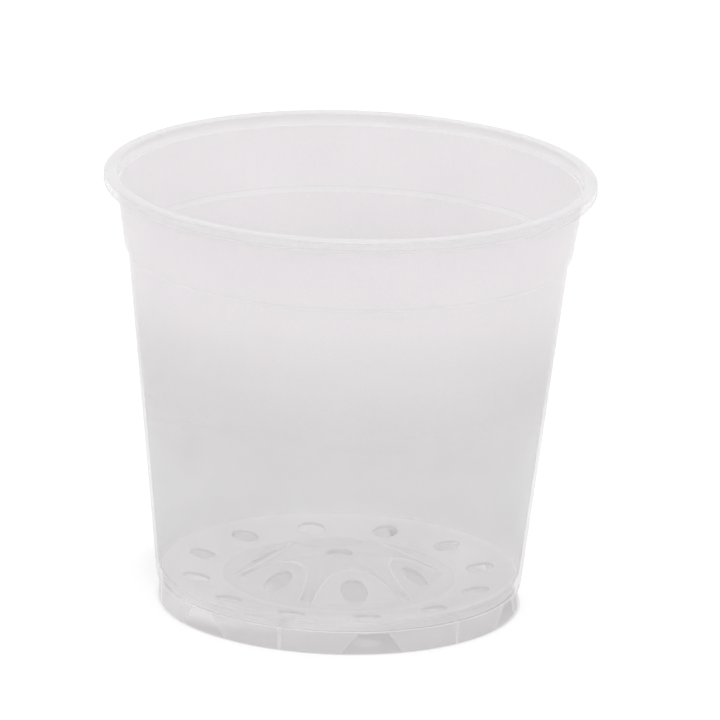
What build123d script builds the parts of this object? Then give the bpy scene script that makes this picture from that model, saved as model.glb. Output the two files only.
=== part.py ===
from build123d import *
import os
from math import cos, radians, sin, tan

# Clear orchid pot with a slotted foot and a lobed drainage floor.
# Millimetres, +Z up, origin at the middle of the base. The front is -Y, where one slot of
# the foot, one lobe of the drainage crown and one floor hole stand in line.
# The pot is one moulding. Each zone of it is a solid of its own, and neighbours meet face to face.

# Overall size
rim_diameter = 130.5
pot_height = 117.4

# Rim: a flange with a stepped skirt, hollow underneath
rim_overhang = 3.5  # outside of the skirt beyond the collar
rim_skirt_height = 3.1
rim_wall = 0.9
rim_ledge = 0.3  # inner step where the rim sits on the collar
skirt_lip_height = 0.9
skirt_lip_setback = 0.35
rim_edge_radius = 0.8
rim_bore_radius = 0.25
groove_radius = 0.3

# Collar, shoulder and side wall
wall = 0.8
collar_height = 16.5
collar_flare = 2.5  # growth of the collar's radius from its bottom to its top
shoulder_height = 1.4
shoulder_step = 1.0
shoulder_land = 0.8  # plain wall above and below the step
shoulder_bend = 0.6
wall_taper = 9.7  # loss of the wall's radius from the shoulder to the foot

# Foot ring, its slots and its ribs
foot_height = 6.1
foot_setback = 0.6  # foot ring in from the bottom edge of the wall
foot_wall = 0.9
foot_edge_radius = 0.25
slot_bottom_width = 16.7
slot_top_width = 7.9
slot_bridge = 0.5  # strip of foot ring left above a slot
rib_wall = 1.0
rib_length = 3.8
rib_ground_gap = 0.4
rib_toe = 1.2  # depth of a rib's inner end

# Floor: a dish that falls from the wall to a flat trough round the crown
floor_wall = 0.9
trough_lift = 0.4  # top of the trough above the top of the foot ring
trough_width = 2.0
dish_angle = 9.0
floor_corner_radius = 1.5
floor_land = 0.6  # plain wall above the floor's corner
wall_edge_radius = 0.3
drain_hole_diameter = 7.1
hole_ring_inset = 9.4  # floor holes in from the outside of the foot ring
hole_land = 1.95  # floor between the holes and the trough

# Drainage crown: vaulted lobes round the middle, each cut off by a slope with a drain hole
lobe_count = 6
lobe_height = 6.2
lobe_width = 24.0
lobe_slope = 30.0
lobe_inset = 5.7  # foot of a slope in from the crown's edge
lobe_hole_setback = 4.0  # drain hole in from the foot of the slope
lobe_edge_radius = 0.9
gate_well_diameter = 7.0
gate_well_depth = 1.4
gate_mark_diameter = 1.8
gate_mark_height = 0.5

# Radii worked inwards from the rim, and heights worked down from it
rim_radius = rim_diameter / 2
collar_top_radius = rim_radius - rim_overhang
collar_bottom_radius = collar_top_radius - collar_flare
wall_top_radius = collar_bottom_radius - shoulder_step
wall_bottom_radius = wall_top_radius - wall_taper
foot_radius = wall_bottom_radius - foot_setback
foot_bore_radius = foot_radius - foot_wall
hole_radius = drain_hole_diameter / 2
hole_ring_radius = foot_radius - hole_ring_inset
trough_radius = hole_ring_radius - hole_radius - hole_land
crown_radius = trough_radius - trough_width

skirt_z = pot_height - rim_skirt_height
step_top_z = skirt_z - collar_height
step_bottom_z = step_top_z - shoulder_height
collar_slope = collar_flare / collar_height
wall_slope = wall_taper / (step_bottom_z - foot_height)
collar_foot_z = step_top_z + shoulder_land
wall_head_z = step_bottom_z - shoulder_land

trough_z = foot_height + trough_lift
dish_slope = tan(radians(dish_angle))
pitch = 360 / lobe_count


def collar_radius(z):
    """Outside of the collar at a height."""
    return collar_bottom_radius + (z - step_top_z) * collar_slope


def wall_radius(z):
    """Outside of the side wall at a height."""
    return wall_bottom_radius + (z - foot_height) * wall_slope


def dish_z(r):
    """Top of the dished floor at a radius."""
    return trough_z + (r - trough_radius) * dish_slope


# The floor's inner corner is where the dish meets the inside of the wall
wall_bore_at_foot = wall_bottom_radius - wall - foot_height * wall_slope
corner_radius_from_axis = (
    wall_bore_at_foot + (trough_z - trough_radius * dish_slope) * wall_slope
) / (1 - dish_slope * wall_slope)
corner_z = dish_z(corner_radius_from_axis)
floor_join_z = corner_z + floor_corner_radius + floor_land


def outward_plane(turn):
    """Upright plane through the pot's axis that faces out, turned this far round from the front."""
    across = (cos(radians(turn)), sin(radians(turn)), 0)
    outwards = (sin(radians(turn)), -cos(radians(turn)), 0)
    return Plane(origin=(0, 0, 0), x_dir=across, z_dir=outwards)


def radial_plane(turn):
    """Upright plane through the pot's axis that holds the radius at this turn from the front."""
    along = (sin(radians(turn)), -cos(radians(turn)), 0)
    across = (-cos(radians(turn)), -sin(radians(turn)), 0)
    return Plane(origin=(0, 0, 0), x_dir=along, z_dir=across)


def corner(sketch, r, z):
    """The profile's corner nearest to a radius and height."""
    return sketch.vertices().sort_by_distance((r, z))[0]


os.makedirs("parts", exist_ok=True)

# Rim
neck_bore_bottom = collar_top_radius - wall + rim_ledge
neck_bore_top = neck_bore_bottom + rim_skirt_height * collar_slope
flange_z = pot_height - rim_wall
neck_radius = collar_radius(flange_z)
skirt_bore = rim_radius - rim_wall
lip_radius = rim_radius - skirt_lip_setback
lip_z = skirt_z + skirt_lip_height
with BuildPart() as rim:
    with BuildSketch(Plane.XZ) as rim_profile:
        with BuildLine():
            Polyline(
                (neck_bore_bottom, skirt_z),
                (neck_bore_top, pot_height),
                (rim_radius, pot_height),
                (rim_radius, lip_z),
                (lip_radius, lip_z),
                (lip_radius, skirt_z),
                (skirt_bore, skirt_z),
                (skirt_bore, flange_z),
                (neck_radius, flange_z),
                (collar_top_radius, skirt_z),
                close=True,
            )
        make_face()
        fillet(corner(rim_profile, rim_radius, pot_height), rim_edge_radius)
        fillet(corner(rim_profile, neck_bore_top, pot_height), rim_bore_radius)
        fillet(corner(rim_profile, skirt_bore, flange_z), groove_radius)
        fillet(corner(rim_profile, neck_radius, flange_z), groove_radius)
    revolve(axis=Axis.Z)
rim.part.label = "rim"
export_step(rim.part, "parts/rim.step")

# Collar
collar_foot_radius = collar_radius(collar_foot_z)
with BuildPart() as collar:
    with BuildSketch(Plane.XZ):
        with BuildLine():
            Polyline(
                (collar_foot_radius - wall, collar_foot_z),
                (collar_foot_radius, collar_foot_z),
                (collar_top_radius, skirt_z),
                (collar_top_radius - wall, skirt_z),
                close=True,
            )
        make_face()
    revolve(axis=Axis.Z)
collar.part.label = "collar"
export_step(collar.part, "parts/collar.step")

# Shoulder
wall_head_radius = wall_radius(wall_head_z)
with BuildPart() as shoulder:
    with BuildSketch(Plane.XZ) as shoulder_profile:
        with BuildLine():
            Polyline(
                (wall_head_radius - wall, wall_head_z),
                (wall_head_radius, wall_head_z),
                (wall_top_radius, step_bottom_z),
                (collar_bottom_radius, step_top_z),
                (collar_foot_radius, collar_foot_z),
                (collar_foot_radius - wall, collar_foot_z),
                (collar_bottom_radius - wall, step_top_z),
                (wall_top_radius - wall, step_bottom_z),
                close=True,
            )
        make_face()
        for inset in (0, wall):
            fillet(corner(shoulder_profile, wall_top_radius - inset, step_bottom_z), shoulder_bend)
            fillet(corner(shoulder_profile, collar_bottom_radius - inset, step_top_z), shoulder_bend)
    revolve(axis=Axis.Z)
shoulder.part.label = "shoulder"
export_step(shoulder.part, "parts/shoulder.step")

# Side wall
floor_join_radius = wall_radius(floor_join_z)
with BuildPart() as side_wall:
    with BuildSketch(Plane.XZ):
        with BuildLine():
            Polyline(
                (floor_join_radius - wall, floor_join_z),
                (floor_join_radius, floor_join_z),
                (wall_head_radius, wall_head_z),
                (wall_head_radius - wall, wall_head_z),
                close=True,
            )
        make_face()
    revolve(axis=Axis.Z)
side_wall.part.label = "side_wall"
export_step(side_wall.part, "parts/side_wall.step")

# Floor ring, with the bottom edge of the wall and a ring of round drain holes
trough_under_z = trough_z - floor_wall
dish_under_z = dish_z(foot_bore_radius) - floor_wall
with BuildPart() as floor_ring:
    with BuildSketch(Plane.XZ) as floor_profile:
        with BuildLine():
            Polyline(
                (foot_bore_radius, foot_height),
                (wall_bottom_radius, foot_height),
                (floor_join_radius, floor_join_z),
                (floor_join_radius - wall, floor_join_z),
                (corner_radius_from_axis, corner_z),
                (trough_radius, trough_z),
                (crown_radius, trough_z),
                (crown_radius, trough_under_z),
                (trough_radius, trough_under_z),
                (foot_bore_radius, dish_under_z),
                close=True,
            )
        make_face()
        fillet(corner(floor_profile, corner_radius_from_axis, corner_z), floor_corner_radius)
        fillet(corner(floor_profile, wall_bottom_radius, foot_height), wall_edge_radius)
    revolve(axis=Axis.Z)
    with BuildSketch(Plane.XY):
        with PolarLocations(hole_ring_radius, 2 * lobe_count, start_angle=-90):
            Circle(hole_radius)
    extrude(amount=floor_join_z, mode=Mode.SUBTRACT)
floor_ring.part.label = "floor_ring"
export_step(floor_ring.part, "parts/floor_ring.step")

# One lobe of the crown: a barrel vault that runs out from the axis and ends in a slope.
# The same form, one wall smaller all round, is the hollow under it.
vault_radius = (lobe_width**2 / 4 + lobe_height**2) / (2 * lobe_height)
vault_axis_z = trough_z + lobe_height - vault_radius
slope_foot_radius = crown_radius - lobe_inset
slope_rise = tan(radians(lobe_slope))
hollow_setback = floor_wall / sin(radians(lobe_slope))
with BuildPart() as lobe:
    with BuildSketch(outward_plane(0)):
        with Locations((0, vault_axis_z)):
            Circle(vault_radius)
    extrude(amount=crown_radius)
    with BuildSketch(radial_plane(0)):
        with BuildLine():
            Polyline(
                (0, trough_under_z),
                (slope_foot_radius + floor_wall / slope_rise, trough_under_z),
                (slope_foot_radius - lobe_height / slope_rise, trough_z + lobe_height),
                (0, trough_z + lobe_height),
                close=True,
            )
        make_face()
    extrude(amount=lobe_width, both=True, mode=Mode.INTERSECT)
with BuildPart() as lobe_hollow:
    with BuildSketch(outward_plane(0)):
        with Locations((0, vault_axis_z)):
            Circle(vault_radius - floor_wall)
    extrude(amount=crown_radius)
    with BuildSketch(radial_plane(0)):
        with BuildLine():
            Polyline(
                (0, trough_under_z),
                (slope_foot_radius + floor_wall / slope_rise - hollow_setback, trough_under_z),
                (slope_foot_radius - lobe_height / slope_rise - hollow_setback, trough_z + lobe_height),
                (0, trough_z + lobe_height),
                close=True,
            )
        make_face()
    extrude(amount=lobe_width, both=True, mode=Mode.INTERSECT)

# Drainage crown
crown_top_z = trough_z + lobe_height
well_z = crown_top_z - gate_well_depth
with BuildPart() as drain_crown:
    with BuildSketch(Plane.XY.offset(trough_under_z)):
        Circle(crown_radius)
    extrude(amount=floor_wall)
    with PolarLocations(0, lobe_count):
        add(lobe.part)
    raised_edges = drain_crown.edges().filter_by_position(Axis.Z, trough_z, crown_top_z)
    fillet(raised_edges.filter_by(GeomType.CIRCLE, reverse=True), lobe_edge_radius)
    with PolarLocations(0, lobe_count):
        add(lobe_hollow.part, mode=Mode.SUBTRACT)
    with BuildSketch(Plane.XY.offset(well_z - floor_wall)):
        Circle(gate_well_diameter / 2 + floor_wall)
    extrude(amount=gate_well_depth)
    with BuildSketch(Plane.XY.offset(well_z)):
        Circle(gate_well_diameter / 2)
    extrude(amount=gate_well_depth, mode=Mode.SUBTRACT)
    with BuildSketch(Plane.XY.offset(well_z - floor_wall - gate_mark_height)):
        Circle(gate_mark_diameter / 2)
    extrude(amount=gate_mark_height)
    with BuildSketch(Plane.XY):
        with PolarLocations(slope_foot_radius - lobe_hole_setback, lobe_count, start_angle=-90):
            Circle(hole_radius)
    extrude(amount=crown_top_z, mode=Mode.SUBTRACT)
drain_crown.part.label = "drain_crown"
export_step(drain_crown.part, "parts/drain_crown.step")

# Foot ring with its trapezoid slots
slot_height = foot_height - slot_bridge
with BuildPart() as foot_ring:
    with BuildSketch(Plane.XZ) as foot_profile:
        with BuildLine():
            Polyline(
                (foot_bore_radius, 0),
                (foot_radius, 0),
                (foot_radius, foot_height),
                (foot_bore_radius, foot_height),
                close=True,
            )
        make_face()
        fillet(corner(foot_profile, foot_radius, 0), foot_edge_radius)
    revolve(axis=Axis.Z)
    for slot in range(lobe_count):
        with BuildSketch(outward_plane(slot * pitch)):
            with BuildLine():
                Polyline(
                    (-slot_bottom_width / 2, 0),
                    (slot_bottom_width / 2, 0),
                    (slot_top_width / 2, slot_height),
                    (-slot_top_width / 2, slot_height),
                    close=True,
                )
            make_face()
        extrude(amount=foot_radius, mode=Mode.SUBTRACT)
foot_ring.part.label = "foot_ring"
export_step(foot_ring.part, "parts/foot_ring.step")

# Ribs inside the foot, halfway between the slots. Each fills the corner under the floor.
rib_toe_radius = foot_bore_radius - rib_length
rib_toe_z = dish_z(rib_toe_radius) - floor_wall
for number in range(lobe_count):
    with BuildPart() as foot_rib:
        with BuildSketch(radial_plane((number + 0.5) * pitch)):
            with BuildLine():
                Polyline(
                    (rib_toe_radius, rib_toe_z),
                    (rib_toe_radius, rib_toe_z - rib_toe),
                    (foot_bore_radius, rib_ground_gap),
                    (foot_radius, rib_ground_gap),
                    (foot_radius, dish_z(foot_radius)),
                    (rib_toe_radius, dish_z(foot_radius)),
                    close=True,
                )
            make_face()
        extrude(amount=rib_wall / 2, both=True)
        with BuildSketch(Plane.XZ):
            with BuildLine():
                Polyline(
                    (trough_radius, 0),
                    (foot_bore_radius, 0),
                    (foot_bore_radius, dish_under_z),
                    (trough_radius, trough_under_z),
                    close=True,
                )
            make_face()
        revolve(axis=Axis.Z, mode=Mode.INTERSECT)
    name = f"foot_rib_{number + 1}"
    foot_rib.part.label = name
    export_step(foot_rib.part, f"parts/{name}.step")
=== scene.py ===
"""Clear orchid pot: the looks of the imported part, laid out as an add-on and run as a script.

The pot is one thin moulding of milky polypropylene. Each zone of it is a piece of its own, made again
here with finer edges than the frame has, and neighbours share hidden faces that take no light.
Metres, +Z up. The front is -Y, where a foot slot, a lobe of the crown and a floor hole stand in line.
"""

from math import asin, atan2, cos, hypot, pi, radians, sin, sqrt, tan

import bmesh
import bpy
from bmesh.types import BMEdge, BMFace, BMVert
from bpy.props import FloatProperty, FloatVectorProperty, IntProperty, PointerProperty
from bpy.types import Operator, Panel, PropertyGroup
from mathutils import Matrix, Vector


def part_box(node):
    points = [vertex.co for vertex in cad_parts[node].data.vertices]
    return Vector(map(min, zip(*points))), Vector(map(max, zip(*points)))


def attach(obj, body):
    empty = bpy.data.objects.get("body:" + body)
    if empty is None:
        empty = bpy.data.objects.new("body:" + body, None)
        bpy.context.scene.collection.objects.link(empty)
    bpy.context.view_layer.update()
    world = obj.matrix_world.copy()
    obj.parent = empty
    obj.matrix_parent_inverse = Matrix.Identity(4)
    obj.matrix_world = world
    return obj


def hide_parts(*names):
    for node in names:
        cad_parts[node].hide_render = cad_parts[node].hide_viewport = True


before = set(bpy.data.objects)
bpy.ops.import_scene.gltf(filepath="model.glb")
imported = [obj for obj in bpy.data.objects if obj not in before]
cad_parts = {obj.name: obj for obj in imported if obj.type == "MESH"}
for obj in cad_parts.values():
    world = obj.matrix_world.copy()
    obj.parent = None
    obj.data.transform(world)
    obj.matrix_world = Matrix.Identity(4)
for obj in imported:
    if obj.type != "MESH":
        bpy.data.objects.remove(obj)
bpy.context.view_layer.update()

bl_info = {
    "name": "Clear Orchid Pot",
    "version": (1, 0, 0),
    "blender": (4, 5, 0),
    "location": "View3D > Sidebar > Orchid Pot",
    "description": "Builds a clear orchid pot with a slotted foot and a lobed drainage floor",
    "category": "Add Mesh",
}

MM = 0.001
FULL_TURN = 2 * pi
ORIGIN, UP = (0, 0, 0), (0, 0, 1)
CENTRE = Vector((0, 0))  # the pot's axis in the floor plan
SEGMENTS = 240  # facets round the pot, a multiple of the lobes and of the floor holes
ARC_SEGMENTS = 5  # facets of a rounded corner in an outline
EDGE_SEGMENTS = 2  # facets of a rounded edge
HOLE_SIDE, HOLE_RINGS = 8, 4  # quads along the side of a floor hole's sector, and out from its hole
LOBE_WELL, LOBE_SIDE, LOBE_RINGS = 10, 24, 22  # the same for a lobe, and first along its well
SLOT_ROWS = 4  # quads up the side of a foot slot
SHARP = radians(40)  # faces that meet at more than this have an edge to round
CREASE = radians(35)  # faces that meet at more than this are shaded apart
MERGE = 0.0005 * MM  # points nearer than this are one
ON_CIRCLE = 4 * MERGE  # points nearer than this to a cylinder stand on it
TOUCH = 0.02 * MM  # gap between a rib and the faces it grows from, and under the pot

PLAIN, JOINT = 0, 1  # material numbers of a piece's plain finish and of its hidden faces
SECOND, THIRD, FOURTH = 2, 3, 4  # and of its other finishes
SHADED_LIP = 0.65  # share of the lip's height, from its foot, below which the lip is painted as a light line and above which as a shade line
FLANGE_TILT = 0.7  # upward part of a face's normal from which it is the flange's top, which gets the darker copy of the rim's plastic as painted shade
STEP_TILT = 0.3  # the same for the stacking step's upward inner face, which is painted darker as shade
HEM_TILT = -0.2  # the same below which it is the wall's bottom edge, which is painted light
RIB_TILT = cos(radians(20))  # the same for the head of a rib

# attribute that carries the crown's painted ridge highlights and painted flank shade
RIDGE_SHADING = "ridge_shading"
PLAIN_RIDGE_SHADING = 0.34  # share of the painted ridge highlight on the crown away from its ridges and flanks
RIDGE_REACH = 0.4 * MM  # height over which a ridge's painted highlight fades out
NOISES = {  # scale, detail and roughness of the patterns in the plastic
    "cloud": (48.0, 3.0, 0.5),
    "streak": (380.0, 2.0, 0.6),
    "ring": (900.0, 2.0, 0.5),
    "grain": (2600.0, 1.0, 0.5),
    "fine": (15000.0, 0.0, 0.5),
}
STREAK_STRETCH = 0.05  # width of a flow streak over its length
FINE_HAZE, GRAIN_ROUGHNESS, GRAIN_HEIGHT = 0.3, 0.18, 0.05  # shares of the two finest patterns
BUMP_STRENGTH, BUMP_DEPTH = 0.25, 0.2 * MM
IOR = 1.49  # of polypropylene

PAPER_REACH = 6  # metres of paper to each side
FOOT_BLUR = 1.5 * MM  # width of the edge of the painted shade in the foot
HOLES_AT = 1.5  # the floor has its painted shade at the holes from this many times the reach of its painted lighter middle
BEHIND_START, BEHIND_END = 0.7, 1.1  # foot radii over which the painted shade behind the pot fades
GREEN_LOSS, BLUE_LOSS = 1.045, 1.012  # the painted shade on the floor is a little pink, like light that has come through the plastic
CLEAR_BOUNCES = 48  # faces that light can go straight through
SENSOR = 36  # width of the camera's sensor in millimetres


def length(name, description, size):
    """A length property whose default is given in millimetres."""
    return FloatProperty(
        name=name, description=description, default=size * MM, min=0, unit="LENGTH", precision=5
    )


def angle(name, description, degrees):
    """An angle property whose default is given in degrees."""
    return FloatProperty(
        name=name, description=description, default=radians(degrees), subtype="ANGLE", unit="ROTATION"
    )


def share(name, description, value, most=1.0):
    """A plain number from 0 to a highest value."""
    return FloatProperty(name=name, description=description, default=value, min=0, max=most, precision=3)


def amount(name, description, value, unit="NONE"):
    """A plain number in a unit."""
    return FloatProperty(name=name, description=description, default=value, unit=unit)


def colour(name, description, value):
    """A colour property."""
    return FloatVectorProperty(
        name=name, description=description, default=value, size=3, min=0, max=1, subtype="COLOR"
    )


class PotWallSizes(PropertyGroup):
    """Sizes of the rim, collar, shoulder and side wall that the frame's boxes don't give."""

    wall: length("Wall", "Thickness of the collar, shoulder and side wall", 0.8)
    rim_wall: length("Rim wall", "Thickness of the flange and its skirt", 0.9)
    rim_ledge: length("Rim ledge", "Inner step where the rim sits on the collar", 0.3)
    lip_height: length("Lip height", "Height of the set-back lip at the foot of the skirt", 0.9)
    lip_setback: length("Lip setback", "How far the lip stands in from the skirt", 0.35)
    rim_edge_radius: length("Rim edge", "Rounding of the rim's upper outer edge", 0.8)
    rim_bore_radius: length("Rim bore", "Rounding of the rim's inner edge", 0.25)
    groove_radius: length("Groove", "Rounding inside the skirt", 0.3)
    fine_edge: length("Fine edge", "Rounding of the small moulded edges", 0.12)
    shoulder_land: length("Shoulder land", "Plain wall above and below the stacking step", 0.8)
    shoulder_bend: length("Shoulder bend", "Bend radius of the stacking step", 0.6)


class PotFloorSizes(PropertyGroup):
    """Sizes of the dished floor and its drain holes."""

    wall: length("Floor wall", "Thickness of the floor and the crown", 0.9)
    trough_width: length("Trough", "Flat ring round the crown", 2.0)
    dish_angle: angle("Dish", "Fall of the floor towards the trough", 9.0)
    corner_radius: length("Corner", "Inner rounding between floor and wall", 1.5)
    edge_radius: length("Wall edge", "Rounding of the wall's bottom edge", 0.3)
    hole_diameter: length("Drain hole", "Diameter of every drain hole", 7.1)
    hole_inset: length("Hole inset", "Floor holes in from the outside of the foot", 9.4)
    hole_edge: length("Hole edge", "Rounding of the drain holes' edges", 0.14)
    hole_margin: length("Hole margin", "Floor kept clear round the ring of holes", 1.2)


class PotCrownSizes(PropertyGroup):
    """Sizes of the raised drainage crown."""

    lobes: IntProperty(
        name="Lobes", description="Lobes of the crown and slots of the foot", default=6, min=3
    )
    lobe_width: length("Lobe width", "Width of a vaulted lobe at its foot", 24.0)
    lobe_slope: angle("Lobe slope", "Slope that ends a lobe", 30.0)
    lobe_inset: length("Lobe inset", "Foot of the slope in from the crown's edge", 5.7)
    hole_setback: length("Hole setback", "Drain hole in from the foot of the slope", 4.0)
    valley_blend: length("Valley blend", "Softness of the valley between lobes", 0.45)
    ridge_blend: length("Ridge blend", "Softness of a lobe's ridge and foot", 0.16)
    well_diameter: length("Gate well", "Diameter of the well at the crown's middle", 7.0)
    well_depth: length("Well depth", "Depth of the well", 1.4)
    mark_diameter: length("Gate mark", "Diameter of the stub under the well", 1.8)
    mark_height: length("Mark height", "Height of the stub", 0.5)


class PotFootSizes(PropertyGroup):
    """Sizes of the slotted foot ring and its ribs."""

    wall: length("Foot wall", "Thickness of the foot ring", 0.9)
    slot_bottom: length("Slot bottom", "Width of a slot at the ground", 16.7)
    slot_top: length("Slot top", "Width of a slot at its head", 7.9)
    slot_bridge: length("Slot bridge", "Strip of foot ring above a slot", 0.5)
    edge_radius: length("Foot edge", "Rounding of the foot's edges", 0.14)
    rib_wall: length("Rib wall", "Thickness of a rib", 1.0)
    rib_length: length("Rib length", "Length of a rib inwards", 3.8)
    rib_toe: length("Rib toe", "Depth of a rib's inner end", 1.2)


class PotFinish(PropertyGroup):
    """Colours and finish of the milky plastic."""

    # The flange's upward faces get a darker, denser copy of the rim's plastic, set against the overhead
    # light: painted shade on the flange top. The shade colour makes the painted shade line at the top of
    # the skirt's lip.
    milk_shaded_flange: colour("Milk of the rim", "Colour of the plastic in the flange", (0.735, 0.72, 0.73))
    milk_skirt: colour("Milk of the skirt", "Colour of the rim's upright skirt", (0.935, 0.92, 0.93))
    # The light-edge colour, glow and haze make a finish of painted light: highlight lines on the rim's
    # inner edge and lip, the shoulder's lower bend, the wall's bottom edge, the floor's corner and drain
    # holes, the foot ring over each rib, and the crown's ridges.
    milk_highlight: colour("Milk of the edges", "Colour of light edges and ridges", (0.98, 0.967, 0.972))
    # The step's colour is a darker copy of the wall's: painted shade on the step's upward inner face.
    milk_step_shade: colour("Milk of the step", "Colour of the step's inner face", (0.785, 0.765, 0.775))
    milk_shade: colour("Milk of the shade", "Colour of the line under the skirt", (0.62, 0.605, 0.615))
    # The wall's colour low down is painted darker, as shade, and fades into the collar's colour between
    # fade_low and fade_high. The hem's colour carries that painted shade on in the wall's lowest strip.
    milk_top: colour("Milk of the collar", "Colour of the plastic in the collar", (0.945, 0.916, 0.935))
    milk_low_shade: colour("Milk at the foot", "Colour of the plastic low on the wall", (0.562, 0.543, 0.553))
    milk_hem: colour("Milk of the hem", "Colour of the lowest strip of the wall", (0.65, 0.633, 0.643))
    milk_rib: colour("Milk of the ribs", "Colour of the ribs in the foot", (0.99, 0.98, 0.98))
    milk_floor: colour("Milk of the floor", "Colour of the floor and crown", (0.99, 0.983, 0.985))
    milk_stand: colour("Milk of the stand", "Colour of the foot ring", (0.96, 0.95, 0.954))
    dense: share("Dense milk", "How much darker the plastic is where it is cloudy", 0.06)
    fade_low: length("Fade low", "Height up to which the wall has its foot colour", 39)
    fade_high: length("Fade high", "Height from which the wall has its collar colour", 95)
    glow: share("Glow", "Share of light that a face scatters on through the plastic", 0.10)
    plate_glow: share("Floor glow", "The same for the floor, the crown and the ribs", 0.22)
    stand_glow: share("Stand glow", "The same for the foot ring", 0.3)
    highlight_glow: share("Edge glow", "The same for the light edges", 0.4)
    wall_haze: share("Wall haze", "Share of the other light that a face stops high on the wall", 0.57)
    low_haze: share("Low wall haze", "The same low on the wall", 0.12)
    rim_haze: share("Rim haze", "The same for the flange", 0.8)
    skirt_haze: share("Skirt haze", "The same for the rim's skirt", 0.3)
    highlight_haze: share("Edge haze", "The same for the light edges", 0.5)
    rib_haze: share("Rib haze", "The same for the ribs in the foot", 0.9)
    floor_haze: share("Floor haze", "The same for the dished floor", 0.62)
    # Flank haze and ridge haze set the crown's painted shade low on its flanks and its painted highlight
    # along its ridges.
    flank_haze: share("Flank haze", "The same low on the flanks of the crown's lobes", 0.3)
    ridge_haze: share("Ridge haze", "The same along the ridges of the lobes", 0.95)
    foot_haze: share("Foot haze", "The same for the foot ring", 0.21)
    roughness: share("Roughness", "Roughness of the satin walls", 0.32)
    polish: share("Polish", "Roughness of the polished rim", 0.22)


class StudioSettings(PropertyGroup):
    """Camera, light, and the floor with its painted shade."""

    turn: angle("Turn", "Camera's turn from the front, towards +X", -11.6)
    elevation: angle("Elevation", "Camera's height above the horizon", 16.6488)
    roll: angle("Roll", "Camera's tilt", 1.7819)
    distance: amount("Distance", "Camera to aim", 2.6, "LENGTH")
    lens: amount("Lens", "Focal length on a 36 mm sensor", 489.77)
    aim_height: length("Aim height", "Height on the axis that the camera is set out from", 58.5)
    aim_right: length("Aim right", "Aim to the right of the axis in the picture", 4.13)
    aim_up: length("Aim up", "Aim above that height in the picture", 7.48)
    dome_side: share("Dome side", "Light from the horizon", 0.91, 4)
    dome_top: share("Dome top", "Light from overhead", 0.91, 4)
    key_power: amount("Softbox", "Power of the large light overhead", 18, "POWER")
    key_rise: angle("Softbox height", "Height of that light above the horizon", 88)
    key_size: amount("Softbox size", "Width of that light", 1.2, "LENGTH")
    floor_glow: share("Floor glow", "Share of the floor's white that shadows don't reach", 0.55)
    floor_white: share("Floor white", "Share of the floor's white that shadows reach", 0.47)
    # The under settings set the shade painted on the floor under the pot and close behind it; its
    # lighter middle is painted too, and no lamp stands there.
    under_middle: share("Shade under", "Share of the floor's white left under the pot's middle", 0.83)
    under_holes: share("Shade at the holes", "The same farther out, where drain holes show it", 0.88)
    under_shade: share("Shade in the foot", "The same just inside the foot ring", 0.63)
    under_reach: length("Light reach", "How far the lighter floor's middle lies behind the pot's", 24.0)
    under_turn: angle("Light turn", "How far that middle is turned from straight behind", 17)
    under_start: share("Shade start", "Share of the way to the foot's front where shade begins", 0.62)
    under_end: share("Shade end", "Share of the way to the foot's front where shade is full", 0.78)
    floor_bounce: share("Floor bounce", "Share of light that the floor sends back to the pot", 0.85)


def place(radius, height, turn=0.0):
    """A point at a radius and height, turned this far round from the front."""
    return Vector((radius * sin(turn), -radius * cos(turn), height))


def span(node):
    """Radius, bottom and top of a round node of the frame."""
    low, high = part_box(node)
    return high.x, low.z, high.z


def line(start, end):
    """Radius as a straight function of height, through two (radius, height) points."""
    slope = (end[0] - start[0]) / (end[1] - start[1])
    return lambda height: start[0] + (height - start[1]) * slope


class PotForm:
    """Radii and heights that neighbouring zones share, from the frame and the size properties."""

    def __init__(self, scene):
        self.walls, self.floor = scene.pot_walls, scene.pot_floor
        self.crown, self.foot = scene.pot_crown, scene.pot_foot
        self.rim_radius, self.skirt_z, self.top_z = span("rim")
        self.collar_radius, self.collar_z, _ = span("collar")
        self.collar_foot, self.shoulder_z, _ = span("shoulder")
        self.wall_head, self.join_z, _ = span("side_wall")
        self.join_radius, self.under_z, _ = span("floor_ring")
        self.foot_radius, _, self.foot_z = span("foot_ring")
        self.crown_radius, _, self.crown_z = span("drain_crown")
        self.collar_at = line((self.collar_foot, self.collar_z), (self.collar_radius, self.skirt_z))
        self.wall_at = line((self.join_radius, self.join_z), (self.wall_head, self.shoulder_z))
        self.neck_bore = self.collar_radius - self.walls.wall + self.walls.rim_ledge
        self.foot_bore = self.foot_radius - self.foot.wall
        self.trough_z = self.under_z + self.floor.wall
        self.trough_radius = self.crown_radius + self.floor.trough_width
        self.hole_radius = self.floor.hole_diameter / 2
        self.hole_ring = self.foot_radius - self.floor.hole_inset
        self.pitch = FULL_TURN / self.crown.lobes

    def dish_z(self, radius):
        """Top of the dished floor at a radius."""
        return self.trough_z + (radius - self.trough_radius) * tan(self.floor.dish_angle)


def whole(mesh):
    """All points, edges and faces of a mesh."""
    return mesh.verts[:] + mesh.edges[:] + mesh.faces[:]


def only(kind, geom):
    """The parts of one kind."""
    return [part for part in geom if isinstance(part, kind)]


def nearest(mesh, spot):
    """The vertex nearest to a point."""
    return min(mesh.verts, key=lambda vert: (vert.co - spot).length_squared)


def outline_face(mesh, outline, rounds):
    """A flat face in the front plane from (radius, height) corners, the numbered ones rounded."""
    corners = [mesh.verts.new(place(radius, height)) for radius, height in outline]
    mesh.faces.new(corners)
    for number, radius in rounds.items():
        corner = corners[number]
        one, other = (edge.other_vert(corner).co - corner.co for edge in corner.link_edges)
        bmesh.ops.bevel(
            mesh, geom=[corner], offset=radius / tan(one.angle(other) / 2), offset_type="OFFSET",
            segments=ARC_SEGMENTS, profile=0.5, affect="VERTICES", material=-1,
        )


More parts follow.
